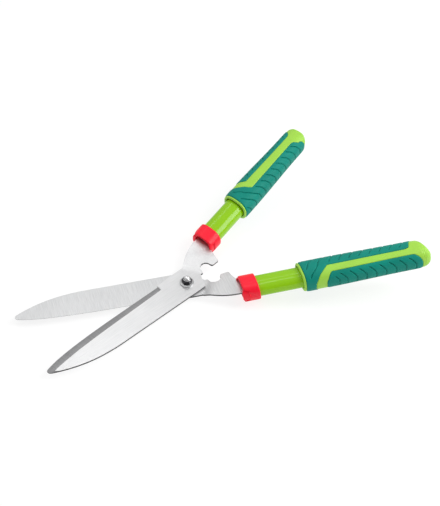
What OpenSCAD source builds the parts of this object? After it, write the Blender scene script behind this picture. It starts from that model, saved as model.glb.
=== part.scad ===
// Hedge shears: two crossed steel blades on one bolt, oval tube handles with
// collars and two-component grips.
// Frame: origin on the bolt's centre line, midway between the two blades.
// +X runs along the centre line towards the blade tips, +Z along the bolt
// towards the nut. The part is stored part open and symmetric about X.
// Each half is drawn as the upper one, with its blade axis along +X, then
// turned by half the opening; the lower half is its mirror image.

/* [Blades] */
// distance from the pivot to each blade tip
blade_len = 240; // [180:1:300]
// plate thickness
plate_t = 2.5; // [2:0.1:4]
// gap between the two plates
plate_gap = 0.1; // [0.05:0.05:0.5]
// distance from the blade axis to its straight back, at its highest
back_y = 24.9; // [20:0.1:30]
// thickness left at the cutting edge
edge_t = 0.4; // [0.2:0.1:1]
// angle between the two blade axes as stored
open_angle = 27; // [3:1:80]

/* [Tangs] */
// outward angle between a blade axis and its handle
splay = 10.05; // [0:0.05:20]
// upward angle of the tangs out of the blade plane, across their bend line
fold = 11.1; // [0:0.1:20]
// angle of the bend line away from square to the handle
bend_skew = 20; // [0:1:30]
// distance from the pivot to the upper tang's bend line
upper_bend = 26.5; // [20:0.1:40]
// distance from the pivot to the lower tang's first bend line
lower_bend = 28; // [27:0.1:40]
// distance from the pivot to the end of the lower tang's step
step_end = 36; // [30:0.5:50]
// distance from the pivot to the handle's centre line, seen from above
handle_offset = 26.2; // [15:0.1:35]
// distance of the handle's centre line below the tang's middle
handle_drop = 2; // [0:0.1:4]
// half of the opening at which the two stop lugs meet
closed_half = 1.2; // [0:0.05:5]
// radius of the half-round notch between pivot and lug
notch_r = 7.9; // [5:0.1:10]

/* [Pivot] */
// bolt radius
bolt_r = 4; // [3:0.5:6]
// radial clearance of the bolt in each plate
bolt_fit = 0.05; // [0.02:0.01:0.1]
// nut and bolt head, width across flats
nut_af = 13; // [10:0.5:19]
// nut height, hexagon and locking rim together
nut_h = 6.5; // [5:0.5:12]
// height of the nut's hexagon
nut_hex_h = 5; // [4:0.5:8]
// bolt head height
head_h = 5.3; // [3:0.1:8]
// washer outer radius
washer_r = 10; // [8:0.5:14]
// washer thickness
washer_t = 1.6; // [1:0.1:3]
// height of the bolt's domed end above the blade contact plane
bolt_top = 14.3; // [12:0.1:20]

/* [Handles] */
// tube width, in the plane of the handles
tube_w = 32.8; // [25:0.2:40]
// tube height
tube_h = 24; // [18:0.5:32]
// tube wall
tube_wall = 1.5; // [1:0.1:3]
// angle of the collar's and the grip's ends away from square to the tube
end_skew = 6.5; // [0:0.5:15]
// start of the tube, measured up the handle from beside the bend
tube_from = 59; // [50:0.5:70]
// end of the tube
tube_to = 304; // [250:1:320]
// front of the collar's ears
collar_from = 45.5; // [40:0.1:60]
// front of the collar's band
band_from = 55; // [50:0.1:65]
// rear of the collar
collar_to = 72; // [65:0.1:90]
// collar width
collar_w = 39; // [36:0.5:46]
// collar height
collar_h = 30; // [26:0.5:40]
// half height of the collar's ears
ear_h = 10; // [6:0.5:15]
// front of the grip's hard lip
grip_from = 132.5; // [100:0.5:150]
// length of the lip in front of the soft part
lip_l = 4; // [2:0.5:8]
// end of the grip
grip_to = 319.5; // [280:0.5:350]
// grip width at its front
grip_w1 = 43.4; // [40:0.2:52]
// grip width near its end
grip_w2 = 38.6; // [34:0.2:48]
// grip height
grip_h = 34.6; // [28:0.2:40]
// half width of the hard stripe between the two soft pads
stripe = 5.5; // [3:0.5:12]

/* [Hidden] */

$fn = 64;
half = open_angle / 2;
z0 = plate_gap / 2;
tang_mid = z0 + plate_t / 2;
fit = 0.05;
steel = [0.80, 0.81, 0.82];
zinc = [0.72, 0.72, 0.70];
tube_green = [0.52, 0.76, 0.10];
core_green = [0.60, 0.84, 0.36];
teal = [0.05, 0.42, 0.38];
red = [0.85, 0.10, 0.14];
nylon = [0.90, 0.90, 0.88];
black = [0.12, 0.12, 0.12];

// ---- helpers ---------------------------------------------------------

// Points on a circular arc, from angle a0 to a1 in n steps.
function arc(c, r, a0, a1, n) =
    [for (i = [0:n]) let(a = a0 + (a1 - a0) * i / n) c + r * [cos(a), sin(a)]];

// One point on a cubic curve with the four control points p.
function cubic(p, t) =
    pow(1 - t, 3) * p[0] + 3 * t * pow(1 - t, 2) * p[1]
    + 3 * t * t * (1 - t) * p[2] + pow(t, 3) * p[3];

// Points on the cubic curve, without its last one.
function curve(p, n) = [for (i = [0:n - 1]) cubic(p, i / n)];

// A plan point given by s along the handle and p outwards from the pivot.
function along(s, p) =
    [-s * cos(splay) + p * sin(splay), -s * sin(splay) - p * cos(splay)];

// Oval cross-section with half axes a and b; e is 2 for an ellipse, more for
// a squarer shape.
function oval(a, b, e, n) =
    [for (i = [0:n - 1]) let(u = 360 * i / n, c = cos(u), s = sin(u))
        [a * sign(c) * pow(abs(c), 2 / e), b * sign(s) * pow(abs(s), 2 / e)]];

// A prism along x, from x0 to x1, on an outline in y and z.
module prism_x(x0, x1) {
    translate([x0, 0, 0])
        rotate([90, 0, 90])
            linear_extrude(height = x1 - x0) children();
}

// A block over the stretch x0 to x1 whose two ends slant by the end skew.
module slanted(x0, x1) {
    w = 30;
    d = w * tan(end_skew);
    translate([0, 0, -w]) linear_extrude(height = 2 * w)
        polygon([[x0 - d, -w], [x1 - d, -w], [x1 + d, w], [x0 + d, w]]);
}

// The upper half, turned to its stored angle.
module upper() {
    rotate([0, 0, half]) children();
}

// The lower half is the mirror image of the upper one.
module lower() {
    mirror([0, 1, 0]) rotate([0, 0, half]) children();
}

// Everything beyond the bend line is turned up about it by the fold.
module past_bend() {
    rotate([0, 0, 180 + splay + bend_skew])
        translate([upper_bend, 0, tang_mid])
            rotate([0, -fold, 0])
                translate([-upper_bend, 0, 0])
                    rotate([0, 0, -bend_skew]) children();
}

// The handle's own frame: x up the handle from a point beside the pivot,
// y away from the other handle, z out of the handles' plane.
module on_handle() {
    past_bend() translate([24, handle_offset, -handle_drop]) children();
}

// ---- blades ----------------------------------------------------------

// Cutting edge, from the heel end to the tip.
edge_pts = [[36, -21.8], [110, -19.2], [195, -17.8], [blade_len - 8, -7.4]];
// Inner border of the ground bevel, over the same length.
bevel_pts = [[36, -13.8], [110, -8.6], [190, -7], [blade_len - 4, 4.2]];
// The back's fall to the tip.
nose_pts = [[140, back_y], [178, back_y], [207, 18.5], [blade_len - 2, 2]];
// Outer side of the tang.
outer_pts = [[-15.5, -25.9], [-32, -39.5], [-47, -46.5], along(72, 37)];
// Inner side of the tang, from the collar to the stop lug.
inner_pts = [along(72, 11.8), [-66, -18], [-63.6, -9], [-62.4, -3.6]];
notch_c = [-40.3, -3.2];

// Outline of one blade and tang, in the closed position.
function lug_y(x) = -x * tan(closed_half);
function blade_outline() = concat(
    [[35, -23], [0, -25.7]],
    curve(outer_pts, 14),
    [along(72, 37), along(77, 36.6), along(79, 35.6), along(118, 35.6), along(122, 32.4),
     along(122, 20.2), along(118, 17), along(79, 17), along(77, 12.2)],
    curve(inner_pts, 8),
    arc([-59.6, lug_y(-59.6) - 2.6], 2.6, 168, 90, 5),
    arc([-51.4, lug_y(-51.4) - 2.6], 2.6, 90, 12, 5),
    arc(notch_c, notch_r, 178, 358, 22),
    arc([-29.6, -0.8], 2.2, 165, 70, 5),
    [[-26.4, 1.1], [-25, 2.8]],
    arc([-11.5, 16.8], 5.6, 155, 90, 7),
    curve(nose_pts, 16),
    arc([blade_len - 4.5, -1.9], 4.6, 58, -56, 8),
    [for (i = [0:19]) cubic(edge_pts, 1 - i / 20)],
    arc([36, -22.5], 0.7, 90, 180, 4));

// Side view of a plate whose far part rises in two steps of slope.
// x is the distance from the pivot across the bend line.
function upper_side() = [
    [-300, z0], [upper_bend + plate_t / 2 * tan(fold / 2), z0],
    [140, tang_z(140) - half_t], [140, tang_z(140) + half_t],
    [upper_bend - plate_t / 2 * tan(fold / 2), z0 + plate_t], [-300, z0 + plate_t]];

// Height of the tangs' middle plane, and half the thickness of a sloping
// plate measured upright.
function tang_z(x) = tang_mid + (x - upper_bend) * tan(fold);
half_t = plate_t / 2 / cos(fold);

// The lower plate steps up at its bend, so both tangs lie at one height.
step_rise = tang_z(step_end) + tang_mid;
step_a = atan(step_rise / (step_end - lower_bend));
bend1 = plate_t / 2 * tan(step_a / 2);
bend2 = plate_t / 2 * tan((step_a - fold) / 2);
function lower_side() = [
    [-300, -z0 - plate_t], [lower_bend + bend1, -z0 - plate_t],
    [step_end + bend2 * cos(fold) + plate_t / 2 * sin(fold),
     tang_z(step_end + bend2 * cos(fold) + plate_t / 2 * sin(fold)) - half_t],
    [140, tang_z(140) - half_t], [140, tang_z(140) + half_t],
    [step_end - bend2 * cos(fold) - plate_t / 2 * sin(fold),
     tang_z(step_end - bend2 * cos(fold) - plate_t / 2 * sin(fold)) + half_t],
    [lower_bend - bend1, -z0], [-300, -z0]];

// A sheet with that side view, wide enough to cover the plan outline.
module sheet(side) {
    rotate([0, 0, 180 + splay + bend_skew])
        rotate([90, 0, 0])
            translate([0, 0, -150])
                linear_extrude(height = 300) polygon(side);
}

// The wedge that grinding takes off the outer face along the edge.
module bevel_cut(top, foot) {
    n = 24;
    over = 1;
    drop = top - foot;
    function inner_at(t) = t > 1 ? cubic(bevel_pts, 1) + [11.6, 2.9] : cubic(bevel_pts, t);
    function outer_at(t) = t > 1 ? cubic(edge_pts, 1) + [11.5, 3.6] : cubic(edge_pts, t);
    k = over / abs(drop);
    up = sign(drop) * over;
    ring = [for (i = [0:n + 1])
        let(t = i <= n ? 0.005 + 0.995 * i / n : 2, a = inner_at(t), b = outer_at(t), d = b - a)
        [[a[0] - d[0] * k, a[1] - d[1] * k, top + up],
         [b[0] + d[0] * k, b[1] + d[1] * k, foot - up],
         [b[0] + d[0] * k, b[1] + d[1] * k, top + up]]];
    pts = [for (r = ring) for (p = r) p];
    flip = drop > 0;
    sides = [for (i = [0:n]) for (j = [0:2])
        let(a = 3 * i + j, b = 3 * i + (j + 1) % 3, c = b + 3, d = a + 3)
        each (flip ? [[a, b, c], [a, c, d]] : [[a, c, b], [a, d, c]])];
    m = 3 * (n + 1);
    caps = flip ? [[2, 1, 0], [m, m + 1, m + 2]] : [[0, 1, 2], [m + 2, m + 1, m]];
    polyhedron(points = pts, faces = concat(sides, caps), convexity = 4);
}

// Hole through the tang for the pin that locks it in the insert.
module tang_pin_hole() {
    on_handle()
        translate([95, 0, -6]) cylinder(r = 2 + fit, h = 12);
}

module upper_blade() {
    color(steel)
    upper() difference() {
        intersection() {
            translate([0, 0, -20]) linear_extrude(height = 80) polygon(blade_outline());
            sheet(upper_side());
        }
        bevel_cut(z0 + plate_t, z0 + edge_t);
        translate([0, 0, -10]) cylinder(r = bolt_r + bolt_fit, h = 20);
        tang_pin_hole();
    }
}

module lower_blade() {
    color(steel)
    lower() difference() {
        intersection() {
            translate([0, 0, -20]) linear_extrude(height = 80) polygon(blade_outline());
            sheet(lower_side());
        }
        bevel_cut(-z0 - plate_t, -z0 - edge_t);
        translate([0, 0, -10]) cylinder(r = bolt_r + bolt_fit, h = 20);
        tang_pin_hole();
    }
}

// ---- pivot -----------------------------------------------------------

top_z = z0 + plate_t;
seat_z = top_z + washer_t;
low_z = -z0 - plate_t - plate_gap;
head_z = low_z - washer_t;
free_z = seat_z + nut_h + 0.25;
end_r = 3.6;

// Hexagon with both rims turned down to a cone.
module hexagon(h, both) {
    r = nut_af / 2 / cos(30);
    intersection() {
        cylinder(r = r, h = h, $fn = 6);
        cylinder(r1 = r - 0.8 + h, r2 = r - 0.8, h = h);
        if (both) cylinder(r1 = r - 0.8, r2 = r - 0.8 + h, h = h);
    }
}

module pivot_bolt() {
    color(zinc) {
        translate([0, 0, head_z]) mirror([0, 0, 1]) hexagon(head_h, false);
        translate([0, 0, head_z - 0.5])
            cylinder(r = bolt_r, h = free_z - head_z + 0.5);
        // the free end above the nut, at the thread's pitch diameter
        translate([0, 0, free_z - 0.5])
            cylinder(r = end_r, h = bolt_top - 1.2 - free_z + 0.5);
        translate([0, 0, bolt_top - 1.2]) cylinder(r1 = end_r, r2 = end_r - 1.3, h = 1.2);
    }
}

module pivot_nut() {
    color(zinc)
    translate([0, 0, seat_z]) difference() {
        union() {
            hexagon(nut_hex_h, true);
            cylinder(r = 5.9, h = nut_h - 1);
            translate([0, 0, nut_h - 1]) cylinder(r1 = 5.9, r2 = 5.1, h = 1);
        }
        translate([0, 0, -1]) cylinder(r = bolt_r + 0.02, h = nut_h + 2);
        translate([0, 0, nut_hex_h]) cylinder(r = 4.9, h = nut_h);
    }
}

module nut_insert() {
    color(nylon)
    translate([0, 0, seat_z + nut_hex_h]) difference() {
        cylinder(r = 4.88, h = nut_h - nut_hex_h - 0.4);
        translate([0, 0, -1]) cylinder(r = bolt_r + 0.02, h = 5);
    }
}

module washer(z) {
    color(zinc)
    translate([0, 0, z]) difference() {
        cylinder(r = washer_r, h = washer_t);
        translate([0, 0, -1]) cylinder(r = bolt_r + 0.2, h = washer_t + 2);
    }
}

// ---- handle pieces, each in the handle's own frame ---------------------

module tube_outline(grow) {
    polygon(oval(tube_w / 2 + grow, tube_h / 2 + grow, 2.3, 56));
}

module tube() {
    color(tube_green)
    on_handle() prism_x(tube_from, tube_to) difference() {
        tube_outline(0);
        tube_outline(-tube_wall);
    }
}

// Slot that the tang passes through, with its own width on each side.
module tang_slot(x0, x1, out, inn) {
    translate([x0, -inn, handle_drop - plate_t / 2 - fit])
        cube([x1 - x0, inn + out, plate_t + 2 * fit]);
}

module collar() {
    color(red)
    on_handle() difference() {
        union() {
            intersection() {
                prism_x(band_from - 8, collar_to + 8)
                    polygon(oval(collar_w / 2, collar_h / 2, 2.6, 48));
                slanted(band_from, collar_to);
            }
            intersection() {
                prism_x(collar_from - 8, band_from + 8)
                    polygon(oval(collar_w / 2 - 1.6, collar_h / 2 - 1.6, 2.6, 48));
                slanted(collar_from, band_from + 1);
                translate([collar_from - 14, -30, -ear_h]) cube([40, 60, 2 * ear_h]);
            }
        }
        prism_x(tube_from - 0.2, collar_to + 8) tube_outline(fit);
        tang_slot(collar_from - 8, tube_from + 1, 12.5, 15.8);
        tang_slot(collar_from - 8, 50, 12.5, 22);
        // the sunk mouth round the tang
        translate([collar_from - 8, -14, handle_drop - 4.5]) cube([band_from - collar_from + 8, 27, 9]);
    }
}

module tang_insert() {
    color(black)
    on_handle() difference() {
        prism_x(tube_from, 113) tube_outline(-tube_wall - fit);
        tang_slot(tube_from - 1, 106, 10.8, 10.8);
        translate([95, 0, -20]) cylinder(r = 2 + fit, h = 40);
    }
}

module tang_pin() {
    color(zinc)
    on_handle() translate([95, 0, -9.6]) cylinder(r = 2, h = 19.2);
}

// Half width and half height of the grip at station x.
function blend(x, a, b) = let(t = min(1, max(0, (x - a) / (b - a)))) t * t * (3 - 2 * t);
function grip_a(x) =
    let(front = sqrt(max(0, 1 - pow(1 - min(1, (x - grip_from) / 5), 2))),
        tail = sqrt(max(0, 1 - pow(max(0, (x - grip_to + 16) / 16), 2))))
    (grip_w1 + (grip_w2 - grip_w1) * blend(x, grip_from + 30, grip_to - 40)) / 2
    * (0.86 + 0.14 * front) * (0.5 + 0.5 * tail);
function grip_b(x) =
    let(front = sqrt(max(0, 1 - pow(1 - min(1, (x - grip_from) / 5), 2))),
        tail = sqrt(max(0, 1 - pow(max(0, (x - grip_to + 16) / 16), 2))))
    grip_h / 2 * (0.86 + 0.14 * front) * (0.5 + 0.5 * tail);

// Slant of the grip's stations: full at the lip, none at the end cap.
function slant(x) = tan(end_skew) * (1 - blend(x, grip_from + 20, grip_to - 60));

// Body of the whole grip, lofted through oval stations.
module grip_body() {
    n = 36;
    xs = concat([for (x = [0, 1, 2.5, 5]) grip_from + x],
                [for (i = [1:7]) grip_from + 5 + (grip_to - grip_from - 21) * i / 7],
                [for (a = [20, 40, 60, 75, 90]) grip_to - 16 + 16 * sin(a)]);
    m = len(xs);
    pts = [for (x = xs) for (p = oval(grip_a(x), grip_b(x), 2.5, n))
        [x + p[0] * slant(x), p[0], p[1]]];
    sides = [for (i = [0:m - 2]) for (j = [0:n - 1])
        let(a = n * i + j, b = n * i + (j + 1) % n, c = b + n, d = a + n)
        each [[a, c, b], [a, d, c]]];
    front = [for (j = [0:n - 1]) j];
    back = [for (j = [0:n - 1]) n * (m - 1) + (n - 1 - j)];
    polyhedron(points = pts, faces = concat(sides, [front, back]), convexity = 4);
}

// The hard sleeve that lies under the soft pads.
module sleeve(grow) {
    prism_x(grip_from - 8, grip_to + 1)
        polygon(oval(tube_w / 2 + 1.6 + grow, tube_h / 2 + 1.6 + grow, 2.3, 56));
}

// Where the inner pad and its front band cover the sleeve.
module inner_zone(grow) {
    d = 40 * tan(end_skew);
    translate([0, 0, -30]) linear_extrude(height = 60)
        polygon([[grip_from + lip_l - grow - d, -40], [grip_from + lip_l - grow + d, 40],
                 [grip_from + 18 + grow, 40], [grip_from + 26 + grow, stripe + grow],
                 [grip_from + 50 + grow, -stripe + grow], [grip_to - 18 + grow, -stripe + grow],
                 [grip_to - 10 + grow, -40]]);
}

// Where the outer pad covers the sleeve.
module outer_zone(grow) {
    translate([0, 0, -30]) linear_extrude(height = 60)
        polygon([[grip_from + 30 - grow, 40], [grip_from + 46 - grow, stripe - grow],
                 [grip_to - 26 + grow, stripe - grow], [grip_to - 16 + grow, 40]]);
}

module grip_core() {
    color(core_green)
    on_handle() difference() {
        grip_body();
        difference() {
            union() {
                inner_zone(0);
                outer_zone(0);
            }
            sleeve(0);
        }
        prism_x(grip_from - 8, tube_to + 0.2) tube_outline(fit);
    }
}

module inner_pad() {
    color(teal)
    on_handle() difference() {
        intersection() {
            grip_body();
            inner_zone(-fit);
        }
        sleeve(fit);
    }
}

module outer_pad() {
    color(teal)
    on_handle() difference() {
        intersection() {
            grip_body();
            outer_zone(-fit);
        }
        sleeve(fit);
    }
}

// ---- nodes -----------------------------------------------------------

upper_blade();
lower_blade();
pivot_bolt();
pivot_nut();
nut_insert();
washer(top_z);  // nut_washer
washer(head_z);  // head_washer
upper() collar();  // upper_collar
upper() tang_insert();  // upper_tang_insert
upper() tang_pin();  // upper_tang_pin
upper() tube();  // upper_tube
upper() grip_core();  // upper_grip_core
upper() inner_pad();  // upper_inner_pad
upper() outer_pad();  // upper_outer_pad
lower() collar();  // lower_collar
lower() tang_insert();  // lower_tang_insert
lower() tang_pin();  // lower_tang_pin
lower() tube();  // lower_tube
lower() grip_core();  // lower_grip_core
lower() inner_pad();  // lower_inner_pad
lower() outer_pad();  // lower_outer_pad
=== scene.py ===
import math

import bmesh
import bpy
import numpy as np
from mathutils import Matrix, Vector


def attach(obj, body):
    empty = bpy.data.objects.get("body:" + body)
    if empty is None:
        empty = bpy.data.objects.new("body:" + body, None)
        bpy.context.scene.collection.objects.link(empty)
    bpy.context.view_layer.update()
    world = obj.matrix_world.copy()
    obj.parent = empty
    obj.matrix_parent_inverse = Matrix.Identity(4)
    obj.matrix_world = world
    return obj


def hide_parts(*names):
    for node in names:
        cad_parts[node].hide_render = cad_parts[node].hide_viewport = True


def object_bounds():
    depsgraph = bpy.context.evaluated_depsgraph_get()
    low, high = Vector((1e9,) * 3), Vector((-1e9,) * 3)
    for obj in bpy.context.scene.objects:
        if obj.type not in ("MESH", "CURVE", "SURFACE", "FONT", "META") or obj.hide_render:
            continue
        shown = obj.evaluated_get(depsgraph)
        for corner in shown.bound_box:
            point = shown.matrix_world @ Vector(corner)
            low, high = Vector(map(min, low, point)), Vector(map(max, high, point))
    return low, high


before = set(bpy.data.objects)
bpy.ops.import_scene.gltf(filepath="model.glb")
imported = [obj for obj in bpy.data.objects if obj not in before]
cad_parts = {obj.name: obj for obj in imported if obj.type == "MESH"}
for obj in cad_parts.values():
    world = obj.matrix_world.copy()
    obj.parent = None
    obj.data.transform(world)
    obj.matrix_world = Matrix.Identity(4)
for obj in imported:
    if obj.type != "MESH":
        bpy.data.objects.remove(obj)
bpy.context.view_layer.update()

# ---- sizes of the object, in millimetres and degrees ----------------------
# Each half is described once, as the upper one with its blade along +X. The
# lower half is its mirror image, with its own bends.

MM = 0.001
HALF_OPEN = 13.5
BLADE_LEN = 240.0
PLATE_T = 2.5
PLATE_Z0 = 0.05
TANG_MID = PLATE_Z0 + PLATE_T / 2
EDGE_T = 0.4
SPLAY = 10.05
FOLD = 11.1
BEND_SKEW = 20.0
UPPER_BEND = 26.5
LOWER_BEND = 28.0
STEP_END = 36.0
HANDLE_OFFSET = 26.2
HANDLE_DROP = 2.0
HANDLE_X = 24.0
CLOSED_HALF = 1.2
NOTCH_R = 7.9
NOTCH = (-40.3, -3.2)

BOLT_R = 4.0
NUT_AF = 13.0
NUT_HEX_H = 5.0
NUT_H = 6.5
HEAD_H = 5.3
WASHER_R = 10.0
WASHER_T = 1.6
BOLT_TOP = 14.3
THREAD_R = 3.95
THREAD_DEPTH = 0.62
THREAD_PITCH = 1.25
POINT_R = 3.5
SEAT_Z = PLATE_Z0 + PLATE_T + WASHER_T
HEAD_Z = -PLATE_Z0 - PLATE_T - 0.1 - WASHER_T

END_SKEW = 6.5
TUBE = dict(a=16.4, b=12.0, e=2.3, start=59.0, end=291.0)
COLLAR = dict(a=19.5, b=15.0, e=2.6, rear=72.0, band=49.2, ears=47.4)
TRIANGLE = (52.5, 70.0)
GRIP = dict(start=132.5, end=319.5, w1=43.4, w2=38.6, h=34.6, e=2.5)


# ---- small helpers --------------------------------------------------------

def rot_z(a):
    a = math.radians(a)
    m = np.eye(4)
    m[:2, :2] = [[math.cos(a), -math.sin(a)], [math.sin(a), math.cos(a)]]
    return m


def rot_y(a):
    a = math.radians(a)
    m = np.eye(4)
    m[0, 0], m[0, 2], m[2, 0], m[2, 2] = math.cos(a), math.sin(a), -math.sin(a), math.cos(a)
    return m


def move(x, y, z):
    m = np.eye(4)
    m[:3, 3] = x, y, z
    return m


# The blade's frame, and the handle's: x up the handle, y away from the other
# handle, z out of the handles' plane.
BLADE_FRAME = rot_z(HALF_OPEN)
HANDLE_FRAME = (
    rot_z(HALF_OPEN) @ rot_z(180 + SPLAY + BEND_SKEW) @ move(UPPER_BEND, 0, TANG_MID)
    @ rot_y(-FOLD) @ move(-UPPER_BEND, 0, 0) @ rot_z(-BEND_SKEW)
    @ move(HANDLE_X, HANDLE_OFFSET, -HANDLE_DROP)
)


def place(points, matrix, side):
    """Points in millimetres in a half's frame, as world points in metres."""
    p = np.asarray(points, float).reshape(-1, 3)
    q = p @ matrix[:3, :3].T + matrix[:3, 3]
    if side == "lower":
        q = q * [1, -1, 1]
    return q * MM


def smooth(x, a, b):
    """Smooth step from 0 at a to 1 at b."""
    t = np.clip((np.asarray(x, float) - a) / (b - a), 0, 1)
    return t * t * (3 - 2 * t)


def ramp(x, a, b):
    """Integral of a slope that grows from 0 at a to 1 at b."""
    x = np.asarray(x, float)
    inside = (x - a) ** 2 / (2 * (b - a))
    return np.where(x < a, 0.0, np.where(x < b, inside, x - (a + b) / 2))


def unit_oval(u, e):
    """Point on a superellipse of half axes 1, with u in degrees."""
    c, s = np.cos(np.radians(u)), np.sin(np.radians(u))
    return np.sign(c) * abs(c) ** (2 / e), np.sign(s) * abs(s) ** (2 / e)


def arc(c, r, a0, a1, n):
    a = np.radians(np.linspace(a0, a1, n + 1))
    return [(c[0] + r * math.cos(t), c[1] + r * math.sin(t)) for t in a]


def curve(p, n):
    """Points on the cubic with control points p, both ends included."""
    t = np.linspace(0, 1, n + 1)[:, None]
    p = np.array(p, float)
    q = (1 - t) ** 3 * p[0] + 3 * t * (1 - t) ** 2 * p[1]
    q = q + 3 * t * t * (1 - t) * p[2] + t ** 3 * p[3]
    return [tuple(v) for v in q]


def along(s, p):
    """Point of a blade s back along its tang's own direction and p to its outboard side."""
    a = math.radians(SPLAY)
    return (-s * math.cos(a) + p * math.sin(a), -s * math.sin(a) - p * math.cos(a))


def new_object(name, verts, faces, angle=30, materials=()):
    """A mesh object from world points in metres, with outward normals."""
    mesh = bpy.data.meshes.new(name)
    mesh.from_pydata([tuple(v) for v in verts], [], [tuple(f) for f in faces])
    obj = bpy.data.objects.new(name, mesh)
    bpy.context.scene.collection.objects.link(obj)
    bm = bmesh.new()
    bm.from_mesh(mesh)
    bmesh.ops.recalc_face_normals(bm, faces=bm.faces)
    bm.to_mesh(mesh)
    bm.free()
    finish_mesh(obj, angle, materials)
    return obj


def finish_mesh(obj, angle, materials):
    mesh = obj.data
    for m in materials:
        mesh.materials.append(m)
    mesh.shade_smooth()
    mesh.set_sharp_from_angle(angle=math.radians(angle))


def declare(obj, body, node):
    """The piece's body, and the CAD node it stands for."""
    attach(obj, body)
    if node:
        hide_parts(node)


def circle(r, z, n):
    """n points round the Z axis."""
    return [(r * math.cos(t), r * math.sin(t), z) for t in np.radians(np.arange(n) * 360 / n)]


def bridge(first, last, n):
    """Quads from the ring of points that starts at index last back to the one at first."""
    return [(last + j, last + (j + 1) % n, first + (j + 1) % n, first + j) for j in range(n)]


def grid_faces(rows, cols, closed):
    """Quads over a grid of rows by cols points; closed joins the last column to the first."""
    i, j = np.meshgrid(np.arange(rows - 1), np.arange(cols if closed else cols - 1), indexing="ij")
    k = (j + 1) % cols
    f = np.stack([i * cols + j, i * cols + k, (i + 1) * cols + k, (i + 1) * cols + j], -1)
    return f.reshape(-1, 4)


# ---- materials ------------------------------------------------------------

def new_material(name, color, rough, metal=0.0, **sockets):
    mat = bpy.data.materials.new(name)
    mat.use_nodes = True
    bsdf = mat.node_tree.nodes["Principled BSDF"]
    bsdf.inputs["Base Color"].default_value = (*color, 1)
    bsdf.inputs["Roughness"].default_value = rough
    bsdf.inputs["Metallic"].default_value = metal
    for key, value in sockets.items():
        bsdf.inputs[key.replace("_", " ")].default_value = value
    return mat


def add(mat, kind, **values):
    node = mat.node_tree.nodes.new(kind)
    for key, value in values.items():
        setattr(node, key, value)
    return node


def join(mat, a, out, b, inp):
    mat.node_tree.links.new(a.outputs[out], b.inputs[inp])


def coords(mat, scale, turn=0.0):
    """Object coordinates, turned about Z, then scaled along each turned axis."""
    tc = add(mat, "ShaderNodeTexCoord")
    turned = add(mat, "ShaderNodeMapping")
    turned.inputs["Rotation"].default_value = (0, 0, math.radians(turn))
    scaled = add(mat, "ShaderNodeMapping")
    scaled.inputs["Scale"].default_value = scale
    join(mat, tc, "Object", turned, "Vector")
    join(mat, turned, "Vector", scaled, "Vector")
    return scaled


def noise(mat, source, scale, detail=3.0, rough=0.5):
    n = add(mat, "ShaderNodeTexNoise")
    n.inputs["Scale"].default_value = scale
    n.inputs["Detail"].default_value = detail
    n.inputs["Roughness"].default_value = rough
    join(mat, source, "Vector", n, "Vector")
    return n


def color_ramp(mat, source, out, stops):
    r = add(mat, "ShaderNodeValToRGB")
    while len(r.color_ramp.elements) < len(stops):
        r.color_ramp.elements.new(0.5)
    for element, (pos, col) in zip(r.color_ramp.elements, stops):
        element.position = pos
        element.color = (*col, 1)
    join(mat, source, out, r, "Fac")
    return r


def drive_range(mat, source, out, lo, hi, socket, from_lo=0.3, from_hi=0.7):
    """Sends a pattern's value to a shader socket, over the range lo to hi."""
    m = add(mat, "ShaderNodeMapRange")
    m.inputs["From Min"].default_value = from_lo
    m.inputs["From Max"].default_value = from_hi
    m.inputs["To Min"].default_value = lo
    m.inputs["To Max"].default_value = hi
    join(mat, source, out, m, "Value")
    join(mat, m, "Result", mat.node_tree.nodes["Principled BSDF"], socket)


def add_bump(mat, source, out, strength, distance):
    b = add(mat, "ShaderNodeBump")
    b.inputs["Strength"].default_value = strength
    b.inputs["Distance"].default_value = distance
    join(mat, source, out, b, "Height")
    join(mat, b, "Normal", mat.node_tree.nodes["Principled BSDF"], "Normal")


def brushed_steel(name, dark, light, rough, turn, scale, bump, cloud_share=0.3):
    """Steel with fine lines; turn and scale set their direction and spacing."""
    mat = new_material(name, light, rough, 1.0)
    bsdf = mat.node_tree.nodes["Principled BSDF"]
    fine = noise(mat, coords(mat, scale, turn), 1.0, 6.0, 0.62)
    cloud = noise(mat, coords(mat, (18, 18, 18)), 1.0, 2.0)
    mix = add(mat, "ShaderNodeMix", data_type="FLOAT")
    mix.inputs["Factor"].default_value = cloud_share
    join(mat, fine, "Fac", mix, "A")
    join(mat, cloud, "Fac", mix, "B")
    tone = color_ramp(mat, mix, "Result", [(0.34, dark), (0.66, light)])
    join(mat, tone, "Color", bsdf, "Base Color")
    drive_range(mat, fine, "Fac", rough - 0.06, rough + 0.08, "Roughness")
    add_bump(mat, fine, "Fac", 0.25, bump)
    return mat


def upper_blade_steel():
    """Lines along the blade."""
    dark, light = (0.72, 0.725, 0.73), (0.86, 0.86, 0.865)
    return brushed_steel("upper_blade_steel", dark, light, 0.36, -HALF_OPEN, (40, 1500, 1500), 4e-6)


def lower_blade_steel():
    """Lines across the blade, with less cloud in them."""
    dark, light = (0.64, 0.645, 0.65), (0.80, 0.805, 0.81)
    scale = (1100, 45, 45)
    return brushed_steel("lower_blade_steel", dark, light, 0.40, HALF_OPEN, scale, 5e-6, 0.15)


def ground_steel():
    """The darker bevel, ground across its edge."""
    dark, light = (0.26, 0.26, 0.265), (0.40, 0.40, 0.405)
    return brushed_steel("ground_steel", dark, light, 0.45, -HALF_OPEN, (900, 60, 60), 8e-6)


def plate_side_painted_shade_steel():
    """Sides of the plates, painted near black: painted shade, not the steel's own tone."""
    dark, light = (0.05, 0.05, 0.055), (0.14, 0.14, 0.14)
    return brushed_steel("plate_side_painted_shade_steel", dark, light, 0.5, 0, (900, 900, 900), 1e-5)


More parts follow.
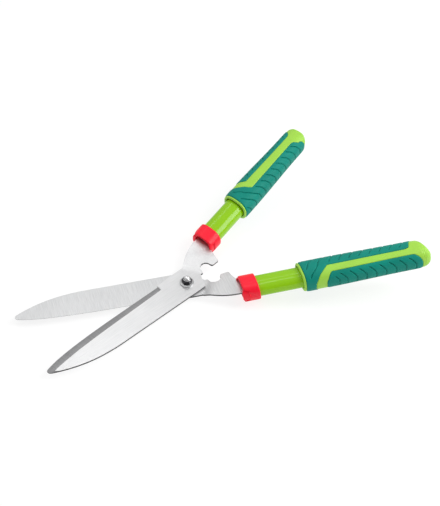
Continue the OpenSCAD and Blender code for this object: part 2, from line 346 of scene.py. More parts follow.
def zinc(name, color, rough):
    """Plated steel with small spots in its tone."""
    mat = new_material(name, color, rough, 1.0)
    bsdf = mat.node_tree.nodes["Principled BSDF"]
    spots = noise(mat, coords(mat, (700, 700, 700)), 1.0, 3.0)
    tone = color_ramp(mat, spots, "Fac", [(0.3, tuple(0.82 * c for c in color)), (0.7, color)])
    join(mat, tone, "Color", bsdf, "Base Color")
    drive_range(mat, spots, "Fac", rough - 0.05, rough + 0.1, "Roughness")
    add_bump(mat, spots, "Fac", 0.2, 1.5e-5)
    return mat


def powder_coat():
    """Glossy light green paint, slightly uneven."""
    dark, light = (0.265, 0.57, 0.0), (0.285, 0.595, 0.0)
    mat = new_material("tube_green", dark, 0.15, Specular_IOR_Level=0.38)
    bsdf = mat.node_tree.nodes["Principled BSDF"]
    skin = noise(mat, coords(mat, (420, 420, 420)), 1.0, 2.0)
    tone = color_ramp(mat, skin, "Fac", [(0.3, dark), (0.7, light)])
    join(mat, tone, "Color", bsdf, "Base Color")
    drive_range(mat, skin, "Fac", 0.14, 0.18, "Roughness")
    return mat


def plastic(name, color, rough, grain, bump, spread=0.06, **sockets):
    """Moulded plastic: a fine spark-eroded grain and slight unevenness."""
    mat = new_material(name, color, rough, **sockets)
    bsdf = mat.node_tree.nodes["Principled BSDF"]
    fine = noise(mat, coords(mat, (grain, grain, grain)), 1.0, 3.0, 0.6)
    wide = noise(mat, coords(mat, (45, 45, 45)), 1.0, 2.0)
    low = tuple(c * (1 - spread) for c in color)
    high = tuple(min(1.0, c * (1 + spread)) for c in color)
    tone = color_ramp(mat, wide, "Fac", [(0.3, low), (0.7, high)])
    join(mat, tone, "Color", bsdf, "Base Color")
    drive_range(mat, fine, "Fac", rough - 0.05, rough + 0.08, "Roughness")
    add_bump(mat, fine, "Fac", 0.3, bump)
    return mat


M = dict(
    upper_blade=upper_blade_steel(),
    lower_blade=lower_blade_steel(),
    ground=ground_steel(),
    # side: the plates' sides in near-black steel, painted shade
    side=plate_side_painted_shade_steel(),
    bolt=zinc("bolt_zinc", (0.88, 0.885, 0.89), 0.26),
    # nut: near-black zinc for the hex sides, painted shade standing in for their shaded faces
    nut=zinc("nut_zinc", (0.055, 0.055, 0.06), 0.26),
    nut_top=zinc("nut_top_zinc", (0.60, 0.60, 0.61), 0.3),
    washer=zinc("washer_zinc", (0.60, 0.605, 0.61), 0.38),
    nylon=plastic("nut_nylon", (0.78, 0.78, 0.74), 0.45, 900, 1e-5),
    collar=plastic("collar_red", (1.0, 0.006, 0.03), 0.34, 700, 2e-5, 0.03, Specular_IOR_Level=0.3),
    black=plastic("insert_black", (0.03, 0.03, 0.03), 0.5, 800, 2e-5),
    pin=zinc("pin_steel", (0.55, 0.55, 0.55), 0.35),
    tube=powder_coat(),
    core=plastic("grip_light_green", (0.345, 0.665, 0.055), 0.45, 900, 1.5e-5, 0.03),
    pad=plastic("grip_teal", (0.0, 0.24, 0.185), 0.55, 1100, 3e-5, 0.08, Specular_IOR_Level=0.2),
    # mouth: near-black red for the deepest part of the collar's mouth, painted shade of the recess
    mouth=plastic("collar_mouth_painted_shade", (0.10, 0.004, 0.006), 0.5, 700, 2e-5),
)


# ---- blades ---------------------------------------------------------------

# control points of the plate's outline curves, in the blade's frame
EDGE = [(36, -21.8), (110, -19.2), (195, -17.8), (BLADE_LEN - 8, -7.4)]
BEVEL = [(36, -13.8), (110, -8.6), (190, -7.0), (BLADE_LEN - 5, 3.6)]
NOSE = [(140, 24.9), (178, 24.9), (207, 18.5), (BLADE_LEN - 2, 2)]
OUTER = [(-15.5, -25.9), (-32, -39.5), (-47, -46.5), along(72, 37)]
INNER = [along(72, 11.8), (-66, -18), (-63.6, -9), (-62.4, -3.6)]
NOSE_STEPS = 30
NOSE_BODY = 28
EDGE_STEPS = 72
BEVEL_RUN_IN = 13.0
CHAMFER = 0.28
# how far each bend's rounding reaches to either side of its line
UPPER_ROUND = 5.0
LOWER_ROUND = 3.4
STEP_ROUND = 4.4


def lug_y(x):
    """The line that the lug beside the notch stops on when the blades are closed."""
    return -x * math.tan(math.radians(CLOSED_HALF))


def body_chain():
    """The outline from the heel end of the edge, round the tang, to near the tip."""
    pts = [(35.3, -22.6), (18, -24.3), (0, -25.7)]
    pts += curve(OUTER, 24)
    pts += [along(77, 36.6), along(79, 35.6), along(100, 35.6)]
    pts += [along(100, 17), along(79, 17), along(77, 12.2)]
    pts += curve(INNER, 12)[:-1]
    pts += arc((-59.6, lug_y(-59.6) - 2.6), 2.6, 168, 90, 7)
    pts += arc((-51.4, lug_y(-51.4) - 2.6), 2.6, 90, 12, 7)
    pts += arc(NOTCH, NOTCH_R, 178, 358, 36)
    pts += arc((-29.6, -0.8), 2.2, 165, 70, 6)
    pts += [(-26.4, 1.1), (-25, 2.8)]
    pts += arc((-11.5, 16.8), 5.6, 155, 90, 9)
    pts += curve(NOSE, NOSE_STEPS)[:NOSE_BODY]
    return pts


def resample(points, n):
    """n + 1 points spread evenly along a polyline."""
    p = np.array(points, float)
    d = np.r_[0, np.cumsum(np.linalg.norm(np.diff(p, axis=0), axis=1))]
    t = np.linspace(0, d[-1], n + 1)
    return np.stack([np.interp(t, d, p[:, k]) for k in (0, 1)], -1), t


def plate(bm):
    """A plate before it is bent: outer face, ground bevel, contact face and walls.

    Returns the points of its outer and its contact rim, without the edge and tip.
    """
    body = body_chain()
    tip = curve(NOSE, NOSE_STEPS)[NOSE_BODY:] + arc((BLADE_LEN - 4.5, -1.9), 4.6, 58, -56, 12)
    outer_line = [body[-1]] + tip + curve(EDGE[::-1], 60)
    inner_line = [body[-1]] + curve(BEVEL[::-1], 60)[1:]
    n = EDGE_STEPS
    outer, run = resample(outer_line, n)
    inner = resample(inner_line, n)[0]
    top, foot = PLATE_Z0 + PLATE_T, PLATE_Z0
    low = PLATE_Z0 + EDGE_T
    z_outer = top - (top - low) * np.clip(run / BEVEL_RUN_IN, 0, 1) ** 0.8

    top_body = [bm.verts.new((x, y, top)) for x, y in body]
    low_body = [bm.verts.new((x, y, foot)) for x, y in body]
    rim = [top_body[-1]] + [bm.verts.new((x, y, z)) for (x, y), z in zip(outer[1:], z_outer[1:])]
    rim_low = [low_body[-1]] + [bm.verts.new((x, y, foot)) for x, y in outer[1:]]
    line = [top_body[-1]] + [bm.verts.new((x, y, top)) for x, y in inner[1:]]
    # outer face: the flat, then the bevel strip and its small end wall
    bm.faces.new(top_body + line[1:])
    bevel = [bm.faces.new([line[0], rim[1], line[1]])]
    for i in range(1, n):
        bevel.append(bm.faces.new([line[i], rim[i], rim[i + 1], line[i + 1]]))
    bm.faces.new([line[n], rim[n], top_body[0]])
    # contact face
    bm.faces.new(list(reversed(low_body + rim_low[1:])))
    walls = []
    for i in range(len(body) - 1):
        walls.append(bm.faces.new([top_body[i], low_body[i], low_body[i + 1], top_body[i + 1]]))
    for i in range(n):
        walls.append(bm.faces.new([rim[i], rim_low[i], rim_low[i + 1], rim[i + 1]]))
    walls.append(bm.faces.new([rim[n], rim_low[n], low_body[0], top_body[0]]))
    for f in bevel:
        f.material_index = 1
    # the walls take the sides' steel, darkened as painted shade
    for f in walls:
        f.material_index = 2
    return top_body, low_body


def chamfer_rims(bm, rings):
    """A fine chamfer along each ring of points, where the plate has its full thickness."""
    rims = []
    for ring in rings:
        for a, b in zip(ring, ring[1:]):
            rims.append(bm.edges.get((a, b)))
    bmesh.ops.bevel(bm, geom=[e for e in rims if e], offset=CHAMFER, offset_type="OFFSET",
                    segments=2, profile=0.5, affect="EDGES", clamp_overlap=True, material=-1)


def bend_plate(bm, up):
    """Folds the tang up; the lower tang first steps up to the upper one's level."""
    a = math.radians(180 + SPLAY + BEND_SKEW)
    way = Vector((math.cos(a), math.sin(a), 0))
    # lines across the bends, so they can be rounded
    if up:
        stations = np.arange(UPPER_BEND - UPPER_ROUND, UPPER_BEND + UPPER_ROUND + 0.1, 1.0)
    else:
        stations = np.linspace(LOWER_BEND - LOWER_ROUND, STEP_END + STEP_ROUND, 27)
    for s in stations:
        geom = bm.verts[:] + bm.edges[:] + bm.faces[:]
        bmesh.ops.bisect_plane(bm, geom=geom, dist=1e-6, plane_co=way * float(s), plane_no=way)
    fold = math.tan(math.radians(FOLD))
    rise = 2 * TANG_MID + (STEP_END - UPPER_BEND) * fold
    step = rise / (STEP_END - LOWER_BEND)
    for v in bm.verts:
        x = v.co.dot(way)
        if up:
            v.co.z += float(ramp(x, UPPER_BEND - UPPER_ROUND, UPPER_BEND + UPPER_ROUND)) * fold
        else:
            v.co.z = -v.co.z
            v.co.z += float(ramp(x, LOWER_BEND - LOWER_ROUND, LOWER_BEND + LOWER_ROUND)) * step
            v.co.z += float(ramp(x, STEP_END - STEP_ROUND, STEP_END + STEP_ROUND)) * (fold - step)


def make_blade(side):
    """One plate with its tang, chamfered, bent and put in place."""
    bm = bmesh.new()
    chamfer_rims(bm, plate(bm))
    bend_plate(bm, side == "upper")
    for v, p in zip(bm.verts, place([v.co[:] for v in bm.verts], BLADE_FRAME, side)):
        v.co = p
    bmesh.ops.recalc_face_normals(bm, faces=bm.faces)
    mesh = bpy.data.meshes.new(side + "_blade_plate")
    bm.to_mesh(mesh)
    bm.free()
    obj = bpy.data.objects.new(side + "_blade_plate", mesh)
    bpy.context.scene.collection.objects.link(obj)
    # slots: blade steel, ground bevel, and the sides' painted shade
    finish_mesh(obj, 20, (M[side + "_blade"], M["ground"], M["side"]))
    mod = obj.modifiers.new("even_normals", "WEIGHTED_NORMAL")
    mod.keep_sharp = True
    mod.weight = 80
    declare(obj, side + "_half", side + "_blade")


# ---- pivot ----------------------------------------------------------------

def hexagon_piece(name, z_low, height, sign, bore, crown, mat):
    """A hexagon with its rims turned down to a cone.

    It grows from z_low by height, upwards or downwards as sign says. bore is
    the radius of its hole, and crown the (radius, z) rings above its top.
    """
    n = 96
    flat = NUT_AF / 2
    corner = flat / math.cos(math.radians(30))
    u = np.arange(n) * 360 / n
    outline = flat / np.cos(np.radians((u + 30) % 60 - 30))
    rings = []

    def ring(limit, z):
        for r, t in zip(np.minimum(outline, limit), np.radians(u)):
            rings.append((r * math.cos(t), r * math.sin(t), z))

    def cone(z):
        edge = min(z, height - z) if crown else z
        return flat - 0.25 + edge * 1.75

    levels = [0.0, 0.15, 0.3, 0.45, 0.6, 0.8]
    if bore:
        ring(bore, 0.0)
    if crown:
        levels += [height - v for v in reversed(levels)]
    else:
        levels += [height - 0.35, height]
    for z in levels:
        limit = cone(z)
        if not crown and z == height:
            limit = min(limit, corner - 0.35)
        ring(min(limit, corner), z)
    if crown:
        for r, z in crown:
            ring(r, z)
    verts = np.array(rings)
    verts[:, 2] = z_low + sign * verts[:, 2]
    last = len(rings) - n
    faces = [tuple(f) for f in grid_faces(len(rings) // n, n, True)]
    if bore:
        faces += bridge(0, last, n)
    else:
        faces.append(tuple(range(n)))
        faces.append(tuple(range(last, last + n)))
    return new_object(name, verts * MM, faces, 28, (mat,))


def make_nut():
    """A lock nut: hex sides darkened with painted shade, and a brighter rolled crown round the
    nylon ring.
    """
    crown = [(5.95, NUT_HEX_H + 0.1), (5.9, NUT_H - 0.75), (5.72, NUT_H - 0.3), (5.4, NUT_H - 0.06),
             (5.0, NUT_H), (4.95, NUT_H - 0.35), (4.02, NUT_H - 0.4)]
    obj = hexagon_piece("lock_nut", SEAT_Z, NUT_HEX_H, 1, BOLT_R + 0.02, crown, M["nut"])
    obj.data.materials.append(M["nut_top"])
    # faces above the rim keep plain zinc; the rest take the sides' painted shade
    rim = (SEAT_Z + NUT_H - 0.2) * MM
    for face in obj.data.polygons:
        face.material_index = 1 if face.center.z > rim else 0
    declare(obj, "upper_half", "pivot_nut")


def thread_rows(z_from, z_to, n):
    """Rings of a helical thread that fades out into the point at z_to."""
    verts = []
    rows = int((z_to - z_from) / (THREAD_PITCH / 12))
    for i in range(rows + 1):
        z = z_from + (z_to - z_from) * i / rows
        fade = float(smooth(z, z_to - 0.9, z_to))
        for j in range(n):
            t = math.radians(j * 360 / n)
            phase = (z / THREAD_PITCH - j / n) % 1.0
            depth = THREAD_DEPTH * abs(2 * phase - 1) ** 0.9
            r = (THREAD_R - depth) * (1 - fade) + POINT_R * fade
            verts.append((r * math.cos(t), r * math.sin(t), z))
    return verts


def make_bolt():
    """Hexagon head, plain shank, threaded end and a domed point."""
    head = hexagon_piece("bolt_head", HEAD_Z, HEAD_H, -1, None, None, M["bolt"])
    declare(head, "upper_half", None)
    n = 64
    stop = BOLT_TOP - 1.3
    verts = circle(THREAD_R - 0.05, HEAD_Z, n)
    verts += thread_rows(SEAT_Z + NUT_H - 2.0, stop, n)
    for k in range(1, 8):
        a = math.radians(90 * k / 8)
        verts += circle(POINT_R * math.cos(a) ** 0.8, stop + (BOLT_TOP - stop) * math.sin(a), n)
    last = len(verts) - n
    faces = [tuple(f) for f in grid_faces(len(verts) // n, n, True)]
    faces.append(tuple(range(n)))
    faces.append(tuple(range(last, last + n)))
    shank = new_object("bolt_shank", np.array(verts) * MM, faces, 40, (M["bolt"],))
    declare(shank, "upper_half", "pivot_bolt")


def make_washer(name, node, z):
    """A stamped washer with rounded rims, its lower face at z."""
    n = 96
    r0, r1, t = BOLT_R + 0.2, WASHER_R, WASHER_T
    under = [(r0, 0.15), (r0 + 0.15, 0), (r1 - 0.3, 0), (r1 - 0.08, 0.1), (r1, 0.35)]
    above = [(r1, t - 0.45), (r1 - 0.12, t - 0.15), (r1 - 0.4, t), (r0 + 0.2, t), (r0, t - 0.2)]
    profile = under + above
    verts = []
    for r, h in profile:
        verts += circle(r, z + h, n)
    faces = [tuple(f) for f in grid_faces(len(profile), n, True)]
    faces += bridge(0, len(verts) - n, n)
    obj = new_object(name, np.array(verts) * MM, faces, 35, (M["washer"],))
    declare(obj, "upper_half", node)


# ---- tube -----------------------------------------------------------------

def make_tube(side):
    """An oval tube with its front end turned in; its far end stays hidden in the grip."""
    n = 120
    y, z = unit_oval(np.arange(n) * 360 / n, TUBE["e"])
    start, end = TUBE["start"], TUBE["end"]
    stations = [(start, -1.4), (start, -0.2), (start + 0.3, 0), (75, 0), (105, 0), (140, 0)]
    verts = []
    for x, grow in stations + [(end, 0), (end, -1.4)]:
        verts += [(x, c * (TUBE["a"] + grow), s * (TUBE["b"] + grow)) for c, s in zip(y, z)]
    faces = [tuple(f) for f in grid_faces(len(verts) // n, n, True)]
    faces += bridge(0, len(verts) - n, n)
    obj = new_object(side + "_oval_tube", place(verts, HANDLE_FRAME, side), faces, 35, (M["tube"],))
    declare(obj, side + "_half", side + "_tube")


# ---- collar ---------------------------------------------------------------

def collar_rows(u, c, s):
    """Rings of points from the rear rim over the band and the ears into the mouth."""
    a, b = COLLAR["a"], COLLAR["b"]
    band, ears, rear = COLLAR["band"], COLLAR["ears"], COLLAR["rear"]
    from_side = 90 - np.abs(np.abs(u - 180) - 90)
    front = band + (ears - band) * (1 - smooth(from_side, 18, 52))
    step = band + 0.6 + 7.0 * (1 - smooth(from_side, 30, 44))
    skew = math.tan(math.radians(END_SKEW))
    rows = []

    def row(x, inset, wide=99.0):
        """A ring of points; wide limits how far it reaches on the outboard side."""
        reach_y = np.where(c > 0, min(a - inset, wide), a - inset)
        rows.append(np.stack([x + c * a * skew, c * reach_y, s * (b - inset)], -1))

    row(rear - 0.2 + 0 * u, a - TUBE["a"] - 0.1)
    row(rear + 0 * u, a - TUBE["a"] - 0.25)
    for back, inset in ((0.0, 1.0), (0.25, 0.45), (0.9, 0.08), (1.6, 0.0)):
        row(rear - back + 0 * u, inset)
    for k in range(1, 10):
        row(rear - 1.6 + (step + 0.9 - rear + 1.6) * k / 10, 0.0)
    # the band's front rim, stepping down to the ears
    for ahead, inset in ((0.9, 0.0), (0.4, 0.12), (0.05, 0.5), (-0.1, 1.15), (-0.35, 1.4)):
        row(step + ahead, inset)
    row((step - 0.35 + front + 1.2) / 2, 1.45)
    for ahead, inset in ((1.2, 1.5), (0.5, 1.75), (0.1, 2.2), (0.0, 2.8)):
        row(front + ahead, inset)
    # the mouth
    row(front + 0.15, 3.3, 14.0)
    row(front + 0.7, 3.7, 12.9)
    row(57.5 + 0 * u, 4.3, 12.7)
    row(58.5 + 0 * u, 5.2, 12.0)
    return np.stack(rows)


def sink_triangle(grid, u, c, s):
    """A shallow triangle sunk into the outboard flank of the band."""
    first, last = TRIANGLE
    xs = grid[:, :, 0] - c * COLLAR["a"] * math.tan(math.radians(END_SKEW))
    angle = np.where(u > 180, u - 360, u) + 0 * xs
    reach = (xs - first) / (last - first)
    sides = [(34 - 40 * reach) - angle, angle + 44 - 8 * reach, (xs - first) * 12, (last - xs) * 12]
    band = np.zeros((len(grid), 1), bool)
    band[5:16] = True
    sink = np.where(band, 0.75 * smooth(np.minimum.reduce(sides), 0.0, 5.0), 0.0)
    grid[:, :, 1] -= c * sink
    grid[:, :, 2] -= s * sink * 0.8


def make_collar(side):
    """A band round the tube with two rounded ears and a sunk mouth, its depth darkened with painted
    shade.
    """
    n = 240
    u = np.arange(n) * 360 / n
    c, s = unit_oval(u, COLLAR["e"])
    grid = collar_rows(u, c, s)
    sink_triangle(grid, u, c, s)
    count = len(grid)
    faces = [tuple(f) for f in grid_faces(count, n, True)]
    faces.append(tuple(range((count - 1) * n, count * n)))
    obj = new_object(side + "_handle_collar", place(grid, HANDLE_FRAME, side), faces, 34,
                     (M["collar"], M["mouth"]))
    # the mouth's last wall band and its floor take the near-black red: painted shade
    for face in obj.data.polygons:
        if min(face.vertices) >= (count - 2) * n:
            face.material_index = 1
    declare(obj, side + "_half", side + "_collar")


# ---- grips ----------------------------------------------------------------
# One moulding serves both handles, turned half a turn about its own length on
# the lower one. W is the angle round the grip from the middle of the hard
# stripe, positive towards the other handle; L is the distance up the handle,
# along the skin.

STRIPE_TOP = 88.0
STRIPE_UNDER = 66.5
MM_PER_DEGREE = 0.34
# the grooves in the pads: their spacing along the grip, depth, and first strokes
PITCH = 14.15
GROOVE_DEPTH = 1.5
INNER_STROKE = 174.6
OUTER_STROKE = 184.0
# the front band's strokes: the angles W between which each runs, and its line
FRONT_STROKES = (
    (-30, 90, (-30, -15, 0, 20, 45, 60, 90), (143, 146, 151.5, 158.5, 166, 171, 175)),
    (10, 95, (10, 30, 50, 70, 95), (140.5, 147, 153.5, 158.5, 162)),
    (60, 100, (60, 72, 85, 100), (138.5, 142.5, 146, 149)),
)
# the pads: thickness, width of the rounded border, its foot, and its rise from there
PAD_THICKNESS = 1.1
PAD_BORDER = 1.3
PAD_FOOT = -1.5
PAD_RISE = 2.1
# the core: its lip's foot and rise, and the gutter between lip and front band
LIP_FOOT = -2.6
LIP_RISE = 2.2
GUTTER_AT = 3.7
GUTTER_WIDTH = 0.45
GUTTER_DEPTH = 0.7
# drop of the core under a pad, and the depth and angular rate of the cap's fine rings
CORE_DROP = 1.6
RING_DEPTH = 0.3
RING_RATE = 2.6
# rear border of the front band, where the hard branch starts
BAND_W = (-130, -75, -50, -30, -18, 2, 14)
BAND_L = (145, 146.5, 151.5, 155, 158, 165.5, 170.5)
# front border of the outer pad
ISLAND_W = (-130, -75, -50, -34, -24, -14)
ISLAND_L = (161, 162, 166.5, 169, 171, 174)
# rear border of the outer pad
ISLAND_END_W = (-130, -95, -65, -45, -30, -18, -14)
ISLAND_END_L = (300, 303.5, 303.5, 300.5, 297, 292, 287)
# rear border of the inner pad: with a step beside one stripe, square beside the other
INNER_END_W = (14, 20, 38, 40, 42, 52, 72, 92)
INNER_END_L = (281, 285, 289.5, 290, 294, 297, 300, 301)
UNDER_END_W = (14, 18, 23, 58, 74, 92)
UNDER_END_L = (281, 286, 288, 291.5, 296, 301)
OUTER_LINE = -15.5
INNER_LINE = 14.0
# the end cap's oblique face, its rounded rim, and the length of skin to its middle
CAP_PLANE = 314.5
CAP_LEAN = 0.42
CAP_TIP = 0.25
CAP_ROUND = 12.3
CAP_DOME = 0.3
CAP_RUN = 336.0


def grip_half_width(x):
    """The grip narrows slowly along its length, and a little more at the cap."""
    g = GRIP
    width = g["w1"] + (g["w2"] - g["w1"]) * smooth(x, g["start"] + 30, g["end"] - 40)
    return width / 2 - 0.8 * smooth(x, 292, 312)


def grip_grid(rows, cols):
    """Stations along the grip and angles round it, as two grids."""
    stations = np.linspace(GRIP["start"], CAP_RUN - 1.0, rows)
    angles = np.arange(cols) * 360.0 / cols
    return np.meshgrid(stations, angles, indexing="ij")


def cap_rim(c, s, turned):
    """Start and turn of the rim's rounding, and the skin's distance from the middle.

    The end face is a plane that leans towards the other handle and, with
    turned 1 or -1, down or up. The rim rounds it into the side.
    """
    across = c * GRIP["w2"] / 2
    height = s * GRIP["h"] / 2
    reach = np.hypot(across, height)
    slope = np.arctan((CAP_LEAN * across + CAP_TIP * height * turned) / reach)
    start = CAP_PLANE + np.tan(slope) * (reach - CAP_ROUND) - CAP_ROUND / np.cos(slope)
    return start, math.pi / 2 + slope, reach


def grip_surface(L, U, lift, turned):
    """Points of the grip's skin at stations L and angles U, raised by lift.

    L runs along the skin: up the side, over the rounded rim, and across the
    oblique end face to its middle at CAP_RUN.
    """
    c, s = unit_oval(U, GRIP["e"])
    a = grip_half_width(L)
    b = GRIP["h"] / 2
    start, full_turn, reach = cap_rim(c, s, turned)
    turn = np.clip((L - start) / CAP_ROUND, 0, full_turn)
    rim = 1 - CAP_ROUND * (1 - np.cos(turn)) / reach
    face = start + CAP_ROUND * full_turn
    past = np.clip((L - face) / (CAP_RUN - face), 0, 1)
    shrink = rim * (1 - past)
    x = np.minimum(L, start) + CAP_ROUND * np.sin(turn)
    x = x + (CAP_PLANE - x) * past + CAP_DOME * past * (2 - past)
    square = smooth(L, GRIP["start"] + 20, GRIP["end"] - 60)
    slant = math.tan(math.radians(END_SKEW)) * (1 - square)
    y = c * ((a + lift) * shrink)
    z = s * ((b + lift) * shrink)
    return np.stack([x + c * a * slant, y, z], -1)


def stripe_angle(U):
    """The angle w from the nearest stripe's middle, from the angle U round the section."""
    over = np.maximum(U - STRIPE_TOP, -0.9 * STRIPE_UNDER)
    under = np.minimum(0.9 * (360 - U - STRIPE_UNDER), 180 - STRIPE_TOP)
    return np.where(U <= 180, over, under)


def pad_distance(L, W, below):
    """Distance in mm inside the inner and the outer pad; negative outside.

    below is true on the half of the section past the inner pad's middle.
    """
    band = np.interp(W, BAND_W, BAND_L)
    inner_end = np.interp(W, INNER_END_W, INNER_END_L)
    inner_end = np.where(below, np.interp(W, UNDER_END_W, UNDER_END_L), inner_end)
    front = L - (GRIP["start"] + 3.6)
    # the front band, and the long pad behind it on the inner side
    band_part = np.minimum(front, (band - L) * 0.8)
    long_part = np.minimum.reduce([front, (W - INNER_LINE) * MM_PER_DEGREE, (inner_end - L) * 0.8])
    inner = np.maximum(band_part, long_part)
    island = np.interp(W, ISLAND_W, ISLAND_L)
    island_end = np.interp(W, ISLAND_END_W, ISLAND_END_L)
    side = (OUTER_LINE - W) * MM_PER_DEGREE
    outer = np.minimum.reduce([side, (L - island) * 0.85, (island_end - L) * 0.8])
    return inner, outer


def groove_depth(L, W):
    """Depth share, 0 to 1, of the fine grooves in the pads."""
    depth = np.zeros_like(L)

    def cut(center, ok, width=1.0):
        d = np.abs(L - center) * 0.86
        hit = (1 - smooth(d, width * 0.35, width * 1.25)) * ok
        np.maximum(depth, hit, out=depth)

    # inner pad: eight slanted strokes, from just below the stripe
    rise = np.interp(W, (22, 42, 62, 82, 110), (0, 6, 9.5, 12, 13.5))
    for k in range(8):
        ok = smooth(W, 21, 24) * (1 - smooth(W, 112, 118))
        cut(INNER_STROKE + PITCH * k + rise, ok)
    # front band: three longer strokes
    for w0, w1, ws, ls in FRONT_STROKES:
        ok = smooth(W, w0 - 1, w0 + 2) * (1 - smooth(W, w1 - 2, w1 + 2))
        cut(np.interp(W, ws, ls), ok)
    # outer pad: nine strokes, bent where they reach the flank
    back = np.interp(W, (-130, -75, -60, -42, -30), (12, 12, 10, 4.5, 0))
    for k in range(9):
        top = -41 if k == 0 else -30
        ok = 1 - smooth(W, top - 2, top + 1)
        cut(OUTER_STROKE + PITCH * (k - 0.8 if k == 0 else k - 1) + back, ok)
    return depth


def keep_faces(verts, faces, good):
    """Only the faces whose points are all good, with unused points dropped."""
    faces = faces[good[faces].all(1)]
    used = np.unique(faces)
    index = np.full(len(verts), -1)
    index[used] = np.arange(len(used))
    return verts[used], index[faces]


def core_lift(L, U, pad, turned):
    """How far the hard core stands off the skin: lip, gutter, drop under pads, cap rings."""
    lip = GRIP["start"]
    front = smooth(L, lip, lip + 1.6)
    lift = LIP_FOOT + LIP_RISE * np.sqrt(np.clip(front * (2 - front), 0, 1))
    lift = lift + 0.4 * smooth(L, lip + 6, lip + 14)
    gutter = np.exp(-((L - (lip + GUTTER_AT)) / GUTTER_WIDTH) ** 2) * GUTTER_DEPTH
    under = CORE_DROP * smooth(pad, -0.15, 0.6) + 0.25 * smooth(pad, -0.9, -0.1)
    past = L - cap_rim(*unit_oval(U, GRIP["e"]), turned)[0]
    on_cap = smooth(past, -1, 2) * (1 - smooth(past, 16, 20))
    rings = RING_DEPTH * (1 + np.sin(past * RING_RATE)) * on_cap
    return lift - gutter - under - rings


def pad_lift(L, field, grooves):
    """Height of a soft pad: a rounded border, a lower front band, and the grooves."""
    edge = np.clip((field + 0.1) / PAD_BORDER, 0, 1)
    height = PAD_FOOT + PAD_RISE * np.sqrt(np.clip(1 - (1 - edge) ** 2, 0, 1))
    height = height - 0.45 * (1 - smooth(L, GRIP["start"] + 3.2, GRIP["start"] + 9))
    return height - grooves * GROOVE_DEPTH * smooth(field, 0.5, 1.6)


def make_core(side, L, U, pad, turned):
    """Hard core: lip, stripe and end cap; it drops under the pads."""
    rows, cols = L.shape
    lift = core_lift(L, U, pad, turned)
    points = grip_surface(L, U, lift, turned).reshape(-1, 3)
    faces = [tuple(f) for f in grid_faces(rows, cols, True)]
    faces.append(tuple(range((rows - 1) * cols, rows * cols)))
    # the mouth of the lip turns in to the tube
    mouth = grip_surface(L[:1] + 1.2, U[:1], np.full((1, cols), -4.2), turned).reshape(-1, 3)
    faces += bridge(len(points), 0, cols)
    verts = place(np.concatenate([points, mouth]), HANDLE_FRAME, side)
    core = new_object(side + "_grip_shell", verts, faces, 50, (M["core"],))
    declare(core, side + "_half", side + "_grip_core")


def make_pad(side, name, points, field):
    """A soft pad: the part of the skin inside its border, with a thickness."""
    rows, cols = field.shape
    keep = (field > -0.9).reshape(-1)
    verts, faces = keep_faces(points, grid_faces(rows, cols, True), keep)
    verts = place(verts, HANDLE_FRAME, side)
    obj = new_object(side + name.replace("_pad", "_soft_pad"), verts, faces, 60, (M["pad"],))
    solid = obj.modifiers.new("thickness", "SOLIDIFY")
    solid.thickness = PAD_THICKNESS * MM
    solid.offset = -1
    declare(obj, side + "_half", side + name)


def make_grip(side):
    """The hard core and its two soft pads."""
    rows, cols = ((340, 232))
    L, U = grip_grid(rows, cols)
    turned = 1 if side == "upper" else -1
    shown = (turned * U) % 360
    W = stripe_angle(shown)
    inner, outer = pad_distance(L, W, shown > 180)
    grooves = groove_depth(L, W)
    make_core(side, L, U, np.maximum(inner, outer), turned)
    for field, name in ((inner, "_inner_pad"), (outer, "_outer_pad")):
        lift = pad_lift(L, field, grooves)
        make_pad(side, name, grip_surface(L, U, lift, turned).reshape(-1, 3), field)


# ---- carried-over CAD pieces ----------------------------------------------

def dress(node, mat):
    """Gives a CAD piece that stays in the model its material."""
    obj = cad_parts[node]
    obj.data.materials.clear()
    obj.data.materials.append(mat)


# ---- build ----------------------------------------------------------------

for half in ("upper", "lower"):
    make_blade(half)
    make_tube(half)
    make_collar(half)
    make_grip(half)
    dress(half + "_tang_insert", M["black"])
    dress(half + "_tang_pin", M["pin"])
make_nut()
make_bolt()
make_washer("plain_washer", "nut_washer", PLATE_Z0 + PLATE_T)
make_washer("head_side_washer", "head_washer", HEAD_Z)
dress("nut_insert", M["nylon"])


# ---- floor, light and camera ----------------------------------------------

def make_floor():
    """A wide pale floor just under the object; it glows a little, so it shows as white."""
    size = 30.0
    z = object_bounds()[0][2] - 0.002
    mesh = bpy.data.meshes.new("floor")
    corners = [(-size, -size, z), (size, -size, z), (size, size, z), (-size, size, z)]
    mesh.from_pydata(corners, [], [(0, 1, 2, 3)])
    floor = bpy.data.objects.new("floor", mesh)
    bpy.context.scene.collection.objects.link(floor)
    mat = new_material("pale_floor", (0.22, 0.22, 0.22), 0.9, Emission_Color=(1, 1, 1, 1),
                       Emission_Strength=0.80)
    mesh.materials.append(mat)


# where the studio is brightest, and its strength opposite that and there
BRIGHT_WAY = (-0.05, -0.55, 0.83)
STUDIO = (0.30, 0.78)


def make_world():
    """A soft studio: even light all round, brighter high behind the object."""
    world = bpy.data.worlds.new("studio")
    bpy.context.scene.world = world
    world.use_nodes = True
    tree = world.node_tree
    back = tree.nodes["Background"]
    back.inputs["Color"].default_value = (1, 1, 1, 1)
    where = tree.nodes.new("ShaderNodeTexCoord")
    dot = tree.nodes.new("ShaderNodeVectorMath")
    dot.operation = "DOT_PRODUCT"
    dot.inputs[1].default_value = Vector(BRIGHT_WAY).normalized()
    level = tree.nodes.new("ShaderNodeMapRange")
    level.inputs["From Min"].default_value = -0.1
    level.inputs["From Max"].default_value = 1.0
    level.inputs["To Min"].default_value = STUDIO[0]
    level.inputs["To Max"].default_value = STUDIO[1]
    tree.links.new(where.outputs["Generated"], dot.inputs[0])
    tree.links.new(dot.outputs["Value"], level.inputs["Value"])
    tree.links.new(level.outputs["Result"], back.inputs["Strength"])


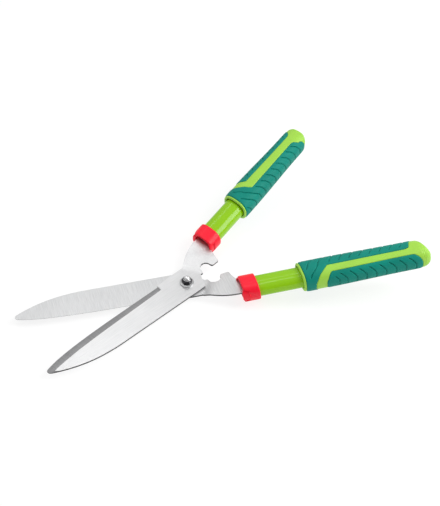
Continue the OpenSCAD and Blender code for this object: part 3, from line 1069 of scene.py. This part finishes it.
def area_light(name, way, distance, size, long_way, radiance):
    """A soft box in direction way from the origin, its long side along long_way."""
    data = bpy.data.lights.new(name, "AREA")
    data.shape = "RECTANGLE"
    data.size, data.size_y = size
    data.energy = radiance * math.pi * size[0] * size[1]
    light = bpy.data.objects.new(name, data)
    bpy.context.scene.collection.objects.link(light)
    z = Vector(way).normalized()
    x = Vector(long_way)
    x = (x - z * x.dot(z)).normalized()
    y = z.cross(x)
    turn = Matrix((x, y, z)).transposed().to_4x4()
    light.matrix_world = Matrix.Translation(z * distance) @ turn


# azimuth, elevation and roll in degrees, then the place along right, up and back in metres
CAMERA_TURN = (145.89, 42.64, 3.82)
CAMERA_SPOT = (0.0468, 0.0435, 1.266)
CAMERA_LENS = 64.03


def make_camera():
    """The camera looks down on the shears from one side, nearer the blades' tips."""
    az, el, roll = (math.radians(a) for a in CAMERA_TURN)
    right = Vector((math.cos(az), math.sin(az), 0))
    back = Vector((math.sin(az) * math.cos(el), -math.cos(az) * math.cos(el), math.sin(el)))
    up = back.cross(right)
    tilt = Matrix.Rotation(roll, 3, back)
    right, up = tilt @ right, tilt @ up
    cam = bpy.data.cameras.new("camera")
    cam.lens = CAMERA_LENS
    cam.sensor_width = 36
    cam.sensor_fit = "AUTO"
    cam.dof.use_dof = False
    cam.clip_start = 0.05
    cam.clip_end = 20
    obj = bpy.data.objects.new("camera", cam)
    bpy.context.scene.collection.objects.link(obj)
    spot = right * CAMERA_SPOT[0] + up * CAMERA_SPOT[1] + back * CAMERA_SPOT[2]
    turn = Matrix((right, up, back)).transposed().to_4x4()
    obj.matrix_world = Matrix.Translation(spot) @ turn
    bpy.context.scene.camera = obj


make_floor()
make_world()
area_light("back_strip", (-0.15, -0.57, 0.80), 1.7, (0.5, 0.1), (1, 0, 0), 4.2)
area_light("top_strip", (0.09, -0.18, 0.975), 1.7, (0.5, 0.26), (1, 0, 0), 5.5)
area_light("side_box", (-0.62, 0.40, 0.68), 1.7, (1.3, 0.9), (0, 0, 1), 5.0)
make_camera()
bpy.context.scene.view_settings.view_transform = "Standard"
